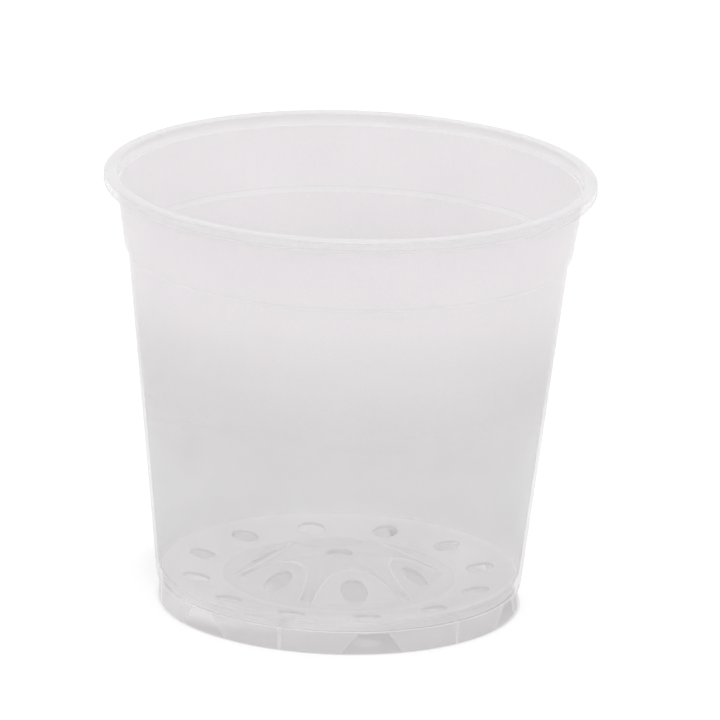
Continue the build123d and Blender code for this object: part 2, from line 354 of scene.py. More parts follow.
def turn_outline(mesh, outline, rounds, open_side=False):
    """Turns an outline about the pot's axis.

    An open one leaves out the side from its last corner to its first.
    """
    drawing = bmesh.new()
    outline_face(drawing, outline, rounds)
    bmesh.ops.delete(drawing, geom=drawing.faces[:], context="FACES_ONLY")
    if open_side:
        ends = [nearest(drawing, place(*outline[n])) for n in (0, -1)]
        bmesh.ops.delete(drawing, geom=[drawing.edges.get(ends)], context="EDGES")
    bmesh.ops.spin(
        drawing, geom=whole(drawing), cent=ORIGIN, axis=UP,
        angle=FULL_TURN, steps=SEGMENTS, use_merge=True,
    )
    held = bpy.data.meshes.new("turned")
    drawing.to_mesh(held)
    drawing.free()
    mesh.from_mesh(held)
    bpy.data.meshes.remove(held)


def repeat_round(mesh, count):
    """Repeats everything in the mesh this many times round the pot's axis."""
    turn = FULL_TURN * (count - 1) / count
    bmesh.ops.spin(
        mesh, geom=whole(mesh), cent=ORIGIN, axis=UP,
        angle=turn, steps=count - 1, use_duplicate=True,
    )


def close_up(mesh):
    """Merges doubled points and turns every face outwards."""
    bmesh.ops.remove_doubles(mesh, verts=mesh.verts[:], dist=MERGE)
    bmesh.ops.recalc_face_normals(mesh, faces=mesh.faces[:])


def turned(outline, rounds):
    """A closed mesh turned from an outline."""
    mesh = bmesh.new()
    turn_outline(mesh, outline, rounds)
    close_up(mesh)
    return mesh


def holed_sector(mesh, inner, outer, half, hole_at, hole_radius, steps):
    """A flat sector of a ring with one round hole on its middle line, in rings of quads round the hole.

    The steps are those along the inner arc, the outer arc and a side, and those out from the hole.
    """
    inner_steps, outer_steps, side_steps, rings = steps
    for radius, count in ((inner, inner_steps), (outer, outer_steps)):
        start = mesh.verts.new(place(radius, 0, -half))
        bmesh.ops.spin(mesh, geom=[start], cent=ORIGIN, axis=UP, angle=2 * half, steps=count)
    for turn in (-half, half):
        ends = [nearest(mesh, place(radius, 0, turn)) for radius in (inner, outer)]
        bmesh.ops.subdivide_edges(mesh, edges=[mesh.edges.new(ends)], cuts=side_steps - 1)
    centre = Matrix.Translation(place(hole_at, 0))
    bmesh.ops.create_circle(mesh, segments=len(mesh.edges), radius=hole_radius, matrix=centre)
    bmesh.ops.bridge_loops(mesh, edges=mesh.edges[:])
    rungs = [edge for edge in mesh.edges if len(edge.link_faces) == 2]
    bmesh.ops.subdivide_edges(mesh, edges=rungs, cuts=rings, use_grid_fill=True)


def second_sheet(mesh):
    """Copies the sheet in the mesh and gives back the points of the copy."""
    copied = bmesh.ops.duplicate(mesh, geom=whole(mesh))["geom"]
    bmesh.ops.reverse_faces(mesh, faces=only(BMFace, copied))
    return only(BMVert, copied)


def on_circle(edge, centre, radius):
    """Whether both ends of an edge stand on an upright cylinder."""
    reaches = (hypot(vert.co.x - centre.x, vert.co.y - centre.y) for vert in edge.verts)
    return all(abs(reach - radius) < ON_CIRCLE for reach in reaches)


def open_edges(mesh, centre, radius):
    """Edges with one face that stand on an upright cylinder."""
    return [edge for edge in mesh.edges if edge.is_boundary and on_circle(edge, centre, radius)]


def bridge_boundary(mesh, centre, radius):
    """Joins the two open loops that stand on an upright cylinder."""
    bmesh.ops.bridge_loops(mesh, edges=open_edges(mesh, centre, radius))


def round_edges(mesh, edges, radius):
    """Rounds the given edges."""
    bmesh.ops.bevel(
        mesh, geom=edges, offset=radius, offset_type="OFFSET", segments=EDGE_SEGMENTS,
        profile=0.5, affect="EDGES", clamp_overlap=True, material=-1,
    )


def sharp_edges(mesh):
    """Edges where two faces meet sharply."""
    return [edge for edge in mesh.edges if edge.is_manifold and edge.calc_face_angle() > SHARP]


def round_rims(mesh, circles, radius):
    """Rounds the sharp edges that stand on upright cylinders, each given by its centre and radius."""
    sharp = sharp_edges(mesh)
    round_edges(mesh, [edge for circle in circles for edge in sharp if on_circle(edge, *circle)], radius)


def mark_joint(mesh, inner, outer, low, high=None):
    """Gives the faces between these radii and heights, or at one height, the clear joint material."""
    high = low if high is None else high
    for face in mesh.faces:
        if all(
            inner - MERGE <= hypot(vert.co.x, vert.co.y) <= outer + MERGE
            and low - MERGE <= vert.co.z <= high + MERGE
            for vert in face.verts
        ):
            face.material_index = JOINT


def paint(mesh, choose):
    """Gives each plain face the material number that choose finds from the face and its middle."""
    for face in mesh.faces:
        if face.material_index == PLAIN:
            face.material_index = choose(face, face.calc_center_median())


def put(name, data):
    """Puts an object with this data into the scene."""
    made = bpy.data.objects.new(name, data)
    bpy.context.scene.collection.objects.link(made)
    return made


def finish_piece(mesh, solid, plain, *others):
    """Makes the piece that stands for a solid of the frame, in its plain and other finishes."""
    name = f"pot_{solid}"
    data = bpy.data.meshes.new(name)
    for face in mesh.faces:
        face.smooth = True
    mesh.to_mesh(data)
    mesh.free()
    data.set_sharp_from_angle(angle=CREASE)
    for material in (plastic(plain), joint_material(), *map(plastic, others)):
        data.materials.append(material)
    piece = put(name, data)
    even = piece.modifiers.new("even_normals", "WEIGHTED_NORMAL")
    even.keep_sharp = True
    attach(piece, "root")
    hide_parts(solid)


def node(tree, kind, inputs=None, **settings):
    """Adds a shader node with its settings, and input values or links."""
    made = tree.nodes.new(kind)
    for name, value in settings.items():
        setattr(made, name, value)
    for name, value in (inputs or {}).items():
        if isinstance(value, bpy.types.NodeSocket):
            tree.links.new(value, made.inputs[name])
        else:
            made.inputs[name].default_value = value
    return made


def sums(tree, operation, *values):
    """A Math node's result."""
    return node(tree, "ShaderNodeMath", dict(enumerate(values)), operation=operation).outputs[0]


def ramp(tree, value, start, end, low=0.0, high=1.0, blend="SMOOTHSTEP"):
    """A Map Range node's result: low up to the start, high from the end on, blended between them."""
    limits = {"Value": value, "From Min": start, "From Max": end, "To Min": low, "To Max": high}
    return node(tree, "ShaderNodeMapRange", limits, interpolation_type=blend).outputs[0]


def noise(tree, name, **source):
    """One of the patterns in the plastic, over a Vector or along a number W."""
    scale, detail, roughness = NOISES[name]
    inputs = {**source, "Scale": scale, "Detail": detail, "Roughness": roughness}
    kind = "1D" if "W" in source else "3D"
    return node(tree, "ShaderNodeTexNoise", inputs, noise_dimensions=kind).outputs["Fac"]


def moulding_marks():
    """Shared group: the cloud, flow streaks, turning rings and fine grain of moulded milky plastic."""
    found = bpy.data.node_groups.get("moulding_marks")
    if found:
        return found
    tree = bpy.data.node_groups.new("moulding_marks", "ShaderNodeTree")
    for side, tone, numbers in (
        ("INPUT", "Milk", ("Dense", "Haze", "Cloud", "Streaks", "Rings", "Roughness")),
        ("OUTPUT", "Color", ("Haze", "Roughness", "Height")),
    ):
        tree.interface.new_socket(name=tone, in_out=side, socket_type="NodeSocketColor")
        for name in numbers:
            tree.interface.new_socket(name=name, in_out=side, socket_type="NodeSocketFloat")
    given = tree.nodes.new("NodeGroupInput").outputs
    where = node(tree, "ShaderNodeTexCoord").outputs["Object"]
    height = node(tree, "ShaderNodeSeparateXYZ", {0: where}).outputs["Z"]
    along = node(tree, "ShaderNodeMapping", {"Vector": where, "Scale": (1.0, 1.0, STREAK_STRETCH)})
    cloud = noise(tree, "cloud", Vector=where)
    streak = noise(tree, "streak", Vector=along.outputs[0])
    ring = noise(tree, "ring", W=height)
    grain = noise(tree, "grain", Vector=where)
    fine = noise(tree, "fine", Vector=where)
    cloudy, streaky, ringed = (
        sums(tree, "MULTIPLY", sums(tree, "SUBTRACT", pattern, 0.5), given[name])
        for pattern, name in ((cloud, "Cloud"), (streak, "Streaks"), (ring, "Rings"))
    )
    marks = sums(tree, "ADD", streaky, ringed)
    haze = sums(tree, "ADD", given["Haze"], sums(tree, "ADD", cloudy, marks))
    haze = sums(tree, "MULTIPLY_ADD", sums(tree, "SUBTRACT", fine, 0.5), FINE_HAZE, haze)
    speckle = sums(tree, "SUBTRACT", grain, 0.5)
    rough = sums(tree, "MULTIPLY_ADD", speckle, GRAIN_ROUGHNESS, given["Roughness"])
    rough = sums(tree, "ADD", rough, cloudy)
    depth = sums(tree, "SUBTRACT", 1.0, sums(tree, "MULTIPLY", cloud, given["Dense"]))
    milk = node(tree, "ShaderNodeVectorMath", {0: given["Milk"], "Scale": depth}, operation="SCALE")
    bumps = sums(tree, "MULTIPLY_ADD", grain, GRAIN_HEIGHT, marks)
    results = {"Color": milk.outputs[0], "Haze": haze, "Roughness": rough, "Height": bumps}
    node(tree, "NodeGroupOutput", results)
    return tree


def height_share(tree):
    """A share that grows with the height on the wall; it fades the wall's painted shade low down into
    the collar's colour.
    """
    look = bpy.context.scene.pot_finish
    where = node(tree, "ShaderNodeTexCoord").outputs["Object"]
    height = node(tree, "ShaderNodeSeparateXYZ", {0: where}).outputs["Z"]
    return ramp(tree, height, look.fade_low, look.fade_high)


def ridge_shading_share(tree):
    """The crown's painted light and shade, carried by its mesh: none low on the lobes' flanks, painted
    shade; all along their ridges, painted highlight.
    """
    return node(tree, "ShaderNodeAttribute", attribute_name=RIDGE_SHADING).outputs["Fac"]


FINISHES = {  # settings for milk, glow, haze and roughness, then shares of cloud, streaks and rings
    "wall_plastic": ("milk_low_shade", "glow", "low_haze", "roughness", 0.05, 0.012, 0.006),
    "hem_plastic": ("milk_hem", "glow", "low_haze", "roughness", 0.05, 0.012, 0.006),
    "step_shade_plastic": ("milk_step_shade", "glow", "wall_haze", "roughness", 0.05, 0.01, 0.0),
    "shade_plastic": ("milk_shade", "glow", "wall_haze", "roughness", 0.05, 0.01, 0.0),
    "shaded_flange_plastic": ("milk_shaded_flange", "glow", "rim_haze", "polish", 0.04, 0.01, 0.0),
    "skirt_plastic": ("milk_skirt", "glow", "skirt_haze", "polish", 0.04, 0.01, 0.0),
    "highlight_plastic": ("milk_highlight", "highlight_glow", "highlight_haze", "polish", 0.04, 0.01, 0.0),
    "rib_plastic": ("milk_rib", "plate_glow", "rib_haze", "polish", 0.04, 0.01, 0.0),
    "floor_plastic": ("milk_floor", "plate_glow", "floor_haze", "roughness", 0.06, 0.01, 0.0),
    "crown_plastic": ("milk_floor", "plate_glow", "flank_haze", "roughness", 0.06, 0.01, 0.0),
    "foot_plastic": ("milk_stand", "stand_glow", "foot_haze", "roughness", 0.06, 0.02, 0.0),
}
CHANGES = {  # where a finish turns into another over its surface, and that one's milk and haze: the wall's painted shade low down fades up into the collar's colour, and the crown's painted flank shade into its painted ridge highlights
    "wall_plastic": (height_share, "milk_top", "wall_haze"),
    "crown_plastic": (ridge_shading_share, "milk_highlight", "ridge_haze"),
}


def plastic(name):
    """Milky polypropylene: some light goes straight through each face, the rest is the plastic's own."""
    made = bpy.data.materials.get(name)
    if made:
        return made
    look = bpy.context.scene.pot_finish
    *settings, cloud, streaks, rings = FINISHES[name]
    milk, glow, haze, roughness = (getattr(look, setting) for setting in settings)
    made = bpy.data.materials.new(name)
    made.use_nodes = True
    tree = made.node_tree
    surface = tree.nodes["Principled BSDF"]
    scatter = node(tree, "ShaderNodeBsdfTranslucent", {"Color": (*milk, 1.0)})
    given = {
        "Milk": (*milk, 1.0),
        "Dense": look.dense,
        "Haze": haze,
        "Cloud": cloud,
        "Streaks": streaks,
        "Rings": rings,
        "Roughness": roughness,
    }
    marks = node(tree, "ShaderNodeGroup", given, node_tree=moulding_marks())
    if name in CHANGES:
        share_at, other_milk, other_haze = CHANGES[name]
        part = share_at(tree)
        milks = {0: part, 6: (*milk, 1.0), 7: (*getattr(look, other_milk), 1.0)}
        mixed = node(tree, "ShaderNodeMix", milks, data_type="RGBA").outputs[2]
        mixed_haze = sums(tree, "MULTIPLY_ADD", part, getattr(look, other_haze) - haze, haze)
        tree.links.new(mixed, marks.inputs["Milk"])
        tree.links.new(mixed, scatter.inputs["Color"])
        tree.links.new(mixed_haze, marks.inputs["Haze"])
    grain = {"Height": marks.outputs["Height"], "Strength": BUMP_STRENGTH, "Distance": BUMP_DEPTH}
    bump = node(tree, "ShaderNodeBump", grain)
    for socket, source in (
        ("Base Color", marks.outputs["Color"]),
        ("Alpha", marks.outputs["Haze"]),
        ("Roughness", marks.outputs["Roughness"]),
        ("Normal", bump.outputs["Normal"]),
    ):
        tree.links.new(source, surface.inputs[socket])
    surface.inputs["IOR"].default_value = IOR
    both = node(tree, "ShaderNodeMixShader", {0: glow, 1: surface.outputs[0], 2: scatter.outputs[0]})
    tree.links.new(both.outputs[0], tree.nodes["Material Output"].inputs["Surface"])
    return made


def joint_material():
    """Hidden faces where two zones of the one moulding meet: the plastic is unbroken there."""
    made = bpy.data.materials.get("joint_clear")
    if made:
        return made
    made = bpy.data.materials.new("joint_clear")
    made.use_nodes = True
    tree = made.node_tree
    tree.nodes.remove(tree.nodes["Principled BSDF"])
    clear = node(tree, "ShaderNodeBsdfTransparent", {"Color": (1.0, 1.0, 1.0, 1.0)})
    tree.links.new(clear.outputs[0], tree.nodes["Material Output"].inputs["Surface"])
    return made


class ORCHIDPOT_OT_rim(Operator):
    """Turns the flange with its stepped skirt, hollow underneath"""

    bl_idname = "orchidpot.rim"
    bl_label = "Rim"

    def execute(self, context):
        form = PotForm(context.scene)
        walls = form.walls
        flange_z = form.top_z - walls.rim_wall
        bore_top = form.neck_bore + form.collar_at(form.top_z) - form.collar_at(form.skirt_z)
        skirt_bore = form.rim_radius - walls.rim_wall
        lip_radius = form.rim_radius - walls.lip_setback
        lip_z = form.skirt_z + walls.lip_height
        shade_z = form.skirt_z + SHADED_LIP * walls.lip_height
        outline = [
            (form.neck_bore, form.skirt_z),
            (bore_top, form.top_z),
            (form.rim_radius, form.top_z),
            (form.rim_radius, lip_z),
            (lip_radius, lip_z),
            (lip_radius, shade_z),
            (lip_radius, form.skirt_z),
            (skirt_bore, form.skirt_z),
            (skirt_bore, flange_z),
            (form.collar_at(flange_z), flange_z),
            (form.collar_radius, form.skirt_z),
        ]
        rounds = {
            1: walls.rim_bore_radius,
            2: walls.rim_edge_radius,
            **dict.fromkeys((3, 4, 6, 7), walls.fine_edge),
            **dict.fromkeys((8, 9), walls.groove_radius),
        }
        mesh = turned(outline, rounds)
        mark_joint(mesh, form.neck_bore, form.collar_radius, form.skirt_z)

        def choose(face, centre):
            away = hypot(*centre.xy)
            # upward faces: the flange top's painted shade
            if face.normal.z > FLANGE_TILT:
                return SECOND
            # the rim's inner edge: a painted highlight ring
            if away < bore_top + walls.fine_edge and face.normal.xy.dot(centre.xy) < 0:
                return THIRD
            # the lip: a painted highlight line below, a painted shade line above
            if away > lip_radius - MERGE and centre.z < lip_z - MERGE:
                return THIRD if centre.z < shade_z else FOURTH
            return PLAIN

        paint(mesh, choose)
        others = ("shaded_flange_plastic", "highlight_plastic", "shade_plastic")
        finish_piece(mesh, "rim", "skirt_plastic", *others)
        return {"FINISHED"}


class ORCHIDPOT_OT_collar(Operator):
    """Turns the flared band between the shoulder and the rim"""

    bl_idname = "orchidpot.collar"
    bl_label = "Collar"

    def execute(self, context):
        form = PotForm(context.scene)
        wall = form.walls.wall
        outline = [
            (form.collar_foot - wall, form.collar_z),
            (form.collar_foot, form.collar_z),
            (form.collar_radius, form.skirt_z),
            (form.neck_bore, form.skirt_z),
            (form.collar_radius - wall, form.skirt_z),
        ]
        mesh = turned(outline, {4: form.walls.fine_edge})
        mark_joint(mesh, form.neck_bore, form.collar_radius, form.skirt_z)
        mark_joint(mesh, 0, form.rim_radius, form.collar_z)
        finish_piece(mesh, "collar", "wall_plastic")
        return {"FINISHED"}


class ORCHIDPOT_OT_shoulder(Operator):
    """Turns the stacking step with its four bends"""

    bl_idname = "orchidpot.shoulder"
    bl_label = "Shoulder"

    def execute(self, context):
        form = PotForm(context.scene)
        wall, bend = form.walls.wall, form.walls.shoulder_bend
        step_top = form.collar_z - form.walls.shoulder_land
        step_bottom = form.shoulder_z + form.walls.shoulder_land
        step_foot, step_head = form.wall_at(step_bottom), form.collar_at(step_top)
        step_middle = (step_bottom + step_top) / 2
        outer = [
            (form.wall_head, form.shoulder_z),
            (step_foot, step_bottom),
            ((step_foot + step_head) / 2, step_middle),
            (step_head, step_top),
            (form.collar_foot, form.collar_z),
        ]
        inner = [(radius - wall, height) for radius, height in reversed(outer)]
        mesh = turned(outer + inner, dict.fromkeys((1, 3, 6, 8), bend))
        for height in (form.shoulder_z, form.collar_z):
            mark_joint(mesh, 0, form.rim_radius, height)

        def choose(face, centre):
            if face.normal.xy.dot(centre.xy) > 0:
                # Outer faces of the step's lower bend get the light-edge finish: a painted highlight
                # line.
                return THIRD if form.shoulder_z + bend < centre.z < step_middle else PLAIN
            # The step's upward inner face is painted darker, as shade against the light from overhead.
            return SECOND if face.normal.z > STEP_TILT else PLAIN

        paint(mesh, choose)
        finish_piece(mesh, "shoulder", "wall_plastic", "step_shade_plastic", "highlight_plastic")
        return {"FINISHED"}


class ORCHIDPOT_OT_side_wall(Operator):
    """Turns the long tapered wall"""

    bl_idname = "orchidpot.side_wall"
    bl_label = "Side Wall"

    def execute(self, context):
        form = PotForm(context.scene)
        wall = form.walls.wall
        outline = [
            (form.join_radius - wall, form.join_z),
            (form.join_radius, form.join_z),
            (form.wall_head, form.shoulder_z),
            (form.wall_head - wall, form.shoulder_z),
        ]
        mesh = turned(outline, {})
        for height in (form.join_z, form.shoulder_z):
            mark_joint(mesh, 0, form.rim_radius, height)
        finish_piece(mesh, "side_wall", "wall_plastic")
        return {"FINISHED"}


class ORCHIDPOT_OT_floor_ring(Operator):
    """Makes the dished floor with its ring of drain holes and the bottom edge of the wall"""

    bl_idname = "orchidpot.floor_ring"
    bl_label = "Floor Ring"

    def execute(self, context):
        form = PotForm(context.scene)
        floor, wall = form.floor, form.walls.wall
        holes = 2 * form.crown.lobes
        inner = form.hole_ring - form.hole_radius - floor.hole_margin
        outer = form.hole_ring + form.hole_radius + floor.hole_margin
        mesh = bmesh.new()
        steps = (SEGMENTS // holes, SEGMENTS // holes, HOLE_SIDE, HOLE_RINGS)
        holed_sector(mesh, inner, outer, pi / holes, form.hole_ring, form.hole_radius, steps)
        for vert in mesh.verts:
            vert.co.z = form.dish_z(hypot(vert.co.x, vert.co.y))
        for vert in second_sheet(mesh):
            vert.co.z -= floor.wall
        bridge_boundary(mesh, place(form.hole_ring, 0), form.hole_radius)
        repeat_round(mesh, holes)
        trough = [
            (inner, form.dish_z(inner)),
            (form.trough_radius, form.trough_z),
            (form.crown_radius, form.trough_z),
            (form.crown_radius, form.under_z),
            (form.trough_radius, form.under_z),
            (inner, form.dish_z(inner) - floor.wall),
        ]
        turn_outline(mesh, trough, {}, open_side=True)
        wall_foot = form.wall_at(form.foot_z)
        bore_at = line((wall_foot - wall, form.foot_z), (form.join_radius - wall, form.join_z))
        dish = tan(floor.dish_angle)
        lean = (form.join_radius - wall_foot) / (form.join_z - form.foot_z)
        corner = (bore_at(0) + (form.trough_z - form.trough_radius * dish) * lean) / (1 - dish * lean)
        edge = [
            (outer, form.dish_z(outer)),
            (corner, form.dish_z(corner)),
            (form.join_radius - wall, form.join_z),
            (form.join_radius, form.join_z),
            (wall_foot, form.foot_z),
            (form.foot_radius, form.foot_z),
            (form.foot_bore, form.foot_z),
            (form.foot_bore, form.dish_z(form.foot_bore) - floor.wall),
            (outer, form.dish_z(outer) - floor.wall),
        ]
        turn_outline(mesh, edge, {1: floor.corner_radius, 4: floor.edge_radius}, open_side=True)
        close_up(mesh)
        centres = [place(form.hole_ring, 0, number * FULL_TURN / holes) for number in range(holes)]
        round_rims(mesh, [(centre, form.hole_radius) for centre in centres], floor.hole_edge)
        mark_joint(mesh, 0, form.rim_radius, form.join_z)
        mark_joint(mesh, form.foot_bore, form.foot_radius, form.foot_z)
        mark_joint(mesh, form.crown_radius, form.crown_radius, 0, form.top_z)

        def choose(face, centre):
            # Outside the foot the hem carries the wall's painted shade. Its downward bottom edge, the
            # floor's rounded inner corner and the drain holes' sides get the light-edge finish: painted
            # light that lifts them out of their shade.
            if all(hypot(*vert.co.xy) > form.foot_bore + MERGE for vert in face.verts):
                return THIRD if face.normal.z < HEM_TILT else SECOND
            if face.normal.z > 0 and hypot(*centre.xy) > corner - floor.corner_radius:
                return THIRD
            return THIRD if self.in_hole(form, centre) else PLAIN

        paint(mesh, choose)
        finish_piece(mesh, "floor_ring", "floor_plastic", "hem_plastic", "highlight_plastic")
        return {"FINISHED"}

    @staticmethod
    def in_hole(form, spot):
        """Whether a point stands in a drain hole or on its rounded edge."""
        pitch = form.pitch / 2
        turn = round(atan2(spot.x, -spot.y) / pitch) * pitch
        away = (spot.xy - place(form.hole_ring, 0, turn).xy).length
        return away < form.hole_radius + form.floor.hole_edge


def soft_top(one, other, blend):
    """The higher of two heights, with the corner between them rounded off."""
    near = max(blend - abs(one - other), 0) / blend
    return max(one, other) + near * near * blend / 4


def soft_bottom(one, other, blend):
    """The lower of two heights, with the corner between them rounded off."""
    return -soft_top(-one, -other, blend)


class LobeForm:
    """Height of the crown over the floor plan: vaulted lobes, each ended by a slope, on a flat ring."""

    def __init__(self, form, inset=0.0):
        crown = form.crown
        rise = form.crown_z - form.trough_z
        radius = (crown.lobe_width**2 / 4 + rise**2) / (2 * rise)
        self.axis_z = form.crown_z - radius
        self.radius = radius - inset
        self.slope = tan(crown.lobe_slope)
        self.ring_z = form.trough_z - inset
        self.slope_foot = form.crown_radius - crown.lobe_inset - inset / sin(crown.lobe_slope)
        self.slope_z = form.trough_z
        self.turns = [number * form.pitch for number in range(crown.lobes)]
        self.valley, self.ridge = crown.valley_blend, crown.ridge_blend

    def vault_and_end(self, spot, turn):
        """Heights of one lobe's vault, and of the slope that ends it, over a point of the floor plan."""
        out = Vector((sin(turn), -cos(turn)))
        along = spot.x * out.x + spot.y * out.y
        across = spot.x * out.y - spot.y * out.x
        if along < 0:
            return self.axis_z, self.axis_z
        vault = self.axis_z + sqrt(max(self.radius**2 - across**2, 0))
        return vault, self.slope_z + (self.slope_foot - along) * self.slope

    def height(self, spot):
        """Height of the crown over a point of the floor plan."""
        lobes = [soft_bottom(*self.vault_and_end(spot, turn), self.ridge) for turn in self.turns]
        first, second = sorted(lobes, reverse=True)[:2]
        return soft_top(soft_top(first, second, self.valley), self.ring_z, self.ridge)

    def ridge_shading(self, spot):
        """Painted light and shade of the crown over a point: 1, a painted highlight, on the arch that
        ends a lobe; 0, painted shade, low on the flanks.
        """
        vault, end = max((self.vault_and_end(spot, turn) for turn in self.turns), key=min)
        if min(vault, end) < self.ring_z:
            return PLAIN_RIDGE_SHADING
        arch = max(1 - abs(vault - end) / RIDGE_REACH, 0)
        crest = self.axis_z + self.radius
        fall = (crest - vault) / (crest - self.ring_z) if vault < end else 0
        return max(arch, PLAIN_RIDGE_SHADING * (1 - fall))


class ORCHIDPOT_OT_drain_crown(Operator):
    """Makes the raised middle of the floor: vaulted lobes with drain holes round a gate well"""

    bl_idname = "orchidpot.drain_crown"
    bl_label = "Drainage Crown"

    def execute(self, context):
        form = PotForm(context.scene)
        crown, wall = form.crown, form.floor.wall
        well = crown.well_diameter / 2
        hole_at = form.crown_radius - crown.lobe_inset - crown.hole_setback
        mesh = bmesh.new()
        steps = (LOBE_WELL, SEGMENTS // crown.lobes, LOBE_SIDE, LOBE_RINGS)
        holed_sector(mesh, well, form.crown_radius, form.pitch / 2, hole_at, form.hole_radius, steps)
        top, hollow = LobeForm(form), LobeForm(form, wall)
        well_reach = hole_at - form.hole_radius - wall
        # the crown's mesh carries its painted ridge highlights and flank shade
        ridge_shading = mesh.verts.layers.float.new(RIDGE_SHADING)
        for vert in mesh.verts:
            vert.co.z = top.height(vert.co)
            vert[ridge_shading] = top.ridge_shading(vert.co)
        for vert in second_sheet(mesh):
            away = hypot(vert.co.x, vert.co.y)
            spread = wall * max(well_reach - away, 0) / (well_reach - well)
            vert.co.xy *= (away + spread) / away
            vert.co.z = hollow.height(vert.co)
        bridge_boundary(mesh, place(hole_at, 0), form.hole_radius)
        repeat_round(mesh, crown.lobes)
        bmesh.ops.remove_doubles(mesh, verts=mesh.verts[:], dist=MERGE)
        bridge_boundary(mesh, CENTRE, form.crown_radius)
        well_z = form.crown_z - crown.well_depth
        mark = crown.mark_diameter / 2
        self.close_well(mesh, well, [(well, well_z)])
        under = well_z - wall
        stub = [(mark, under), (mark, under - crown.mark_height)]
        self.close_well(mesh, well + wall, [(well + wall, under), *stub])
        close_up(mesh)
        holes = [(place(hole_at, 0, turn), form.hole_radius) for turn in top.turns]
        round_rims(mesh, [(CENTRE, well), *holes], form.floor.hole_edge)
        mark_joint(mesh, form.crown_radius, form.crown_radius, 0, form.top_z)
        finish_piece(mesh, "drain_crown", "crown_plastic")
        return {"FINISHED"}

    @staticmethod
    def close_well(mesh, radius, rings):
        """Carries an open round loop on through (radius, height) rings and caps the last."""
        loop = open_edges(mesh, CENTRE, radius)
        for ring_radius, height in rings:
            loop = only(BMEdge, bmesh.ops.extrude_edge_only(mesh, edges=loop)["geom"])
            for vert in {vert for edge in loop for vert in edge.verts}:
                vert.co.xy *= ring_radius / hypot(vert.co.x, vert.co.y)
                vert.co.z = height
        bmesh.ops.contextual_create(mesh, geom=loop)


class ORCHIDPOT_OT_foot_ring(Operator):
    """Makes the standing ring with its trapezoid slots"""

    bl_idname = "orchidpot.foot_ring"
    bl_label = "Foot Ring"

    def execute(self, context):
        form = PotForm(context.scene)
        foot = form.foot
        head_z = form.foot_z - foot.slot_bridge
        side = line((foot.slot_bottom / 2, 0), (foot.slot_top / 2, head_z))
        half_pitch = form.pitch / 2
        rib_side = half_pitch - foot.rib_wall / 2 / form.foot_radius

        def slot_turn(height):
            """Turn from a slot's middle to its side at a height."""
            return asin(side(min(height, head_z)) / form.foot_radius)

        mesh = bmesh.new()
        columns = SEGMENTS // form.crown.lobes // 2
        radius = form.foot_radius
        for low, high, rows in ((0, head_z, SLOT_ROWS), (head_z, form.foot_z, 1)):
            self.sheet(mesh, columns, rows, low, high, lambda z: (slot_turn(z), rib_side), radius)
            self.sheet(mesh, 1, rows, low, high, lambda z: (rib_side, half_pitch), radius)
        self.sheet(mesh, columns // 2, 1, head_z, form.foot_z, lambda z: (0, slot_turn(z)), radius)
        bmesh.ops.mirror(mesh, geom=whole(mesh), axis="X", merge_dist=MERGE)
        repeat_round(mesh, form.crown.lobes)
        close_up(mesh)
        grown = bmesh.ops.extrude_face_region(mesh, geom=mesh.faces[:], use_keep_orig=True)["geom"]
        for vert in only(BMVert, grown):
            vert.co.xy *= form.foot_bore / radius
        close_up(mesh)
        free = form.foot_z - MERGE
        edges = [edge for edge in sharp_edges(mesh) if any(vert.co.z < free for vert in edge.verts)]
        round_edges(mesh, edges, foot.edge_radius)
        mark_joint(mesh, form.foot_bore, form.foot_radius, form.foot_z)

        def choose(_, centre):
            # The strip of ring in front of each rib gets the light-edge finish. The rib behind it is
            # real; the light line over it is painted.
            turn = abs(atan2(centre.x, -centre.y)) % form.pitch
            return SECOND if abs(turn - half_pitch) < half_pitch - rib_side else PLAIN

        paint(mesh, choose)
        finish_piece(mesh, "foot_ring", "foot_plastic", "highlight_plastic")
        return {"FINISHED"}

    @staticmethod
    def sheet(mesh, columns, rows, low, high, turns, radius):
        """A sheet of quads on the ring between two heights, and between the two turns at each height."""
        made = bmesh.ops.create_grid(mesh, x_segments=columns, y_segments=rows, size=0.5)["verts"]
        for vert in made:
            height = low + (vert.co.y + 0.5) * (high - low)
            start, end = turns(height)
            vert.co = place(radius, height, start + (vert.co.x + 0.5) * (end - start))


class ORCHIDPOT_OT_foot_ribs(Operator):
    """Makes the thin upright ribs under the floor, halfway between the slots"""

    bl_idname = "orchidpot.foot_ribs"
    bl_label = "Foot Ribs"

    def execute(self, context):
        form = PotForm(context.scene)
        foot = form.foot
        outside = form.foot_bore - TOUCH
        toe = form.foot_bore - foot.rib_length
        toe_z, head_z = (form.dish_z(radius) - form.floor.wall - TOUCH for radius in (toe, outside))
        for number in range(1, form.crown.lobes + 1):
            node_name = f"foot_rib_{number}"
            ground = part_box(node_name)[0].z
            outline = [(toe, toe_z), (toe, toe_z - foot.rib_toe), (outside, ground), (outside, head_z)]
            mesh = bmesh.new()
            outline_face(mesh, outline, {})
            bmesh.ops.translate(mesh, verts=mesh.verts[:], vec=(-foot.rib_wall / 2, 0, 0))
            grown = bmesh.ops.extrude_face_region(mesh, geom=mesh.faces[:], use_keep_orig=True)["geom"]
            bmesh.ops.translate(mesh, verts=only(BMVert, grown), vec=(foot.rib_wall, 0, 0))
            close_up(mesh)
            free = [
                edge for edge in mesh.edges
                if any(
                    -vert.co.y < outside - MERGE and vert.co.z < toe_z - MERGE for vert in edge.verts
                )
            ]
            round_edges(mesh, free, foot.edge_radius)
            paint(mesh, lambda face, _: JOINT if face.normal.z > RIB_TILT else PLAIN)
            turn = Matrix.Rotation((number - 0.5) * form.pitch, 3, "Z")
            bmesh.ops.rotate(mesh, verts=mesh.verts[:], cent=ORIGIN, matrix=turn)
            finish_piece(mesh, node_name, "rib_plastic")
        return {"FINISHED"}


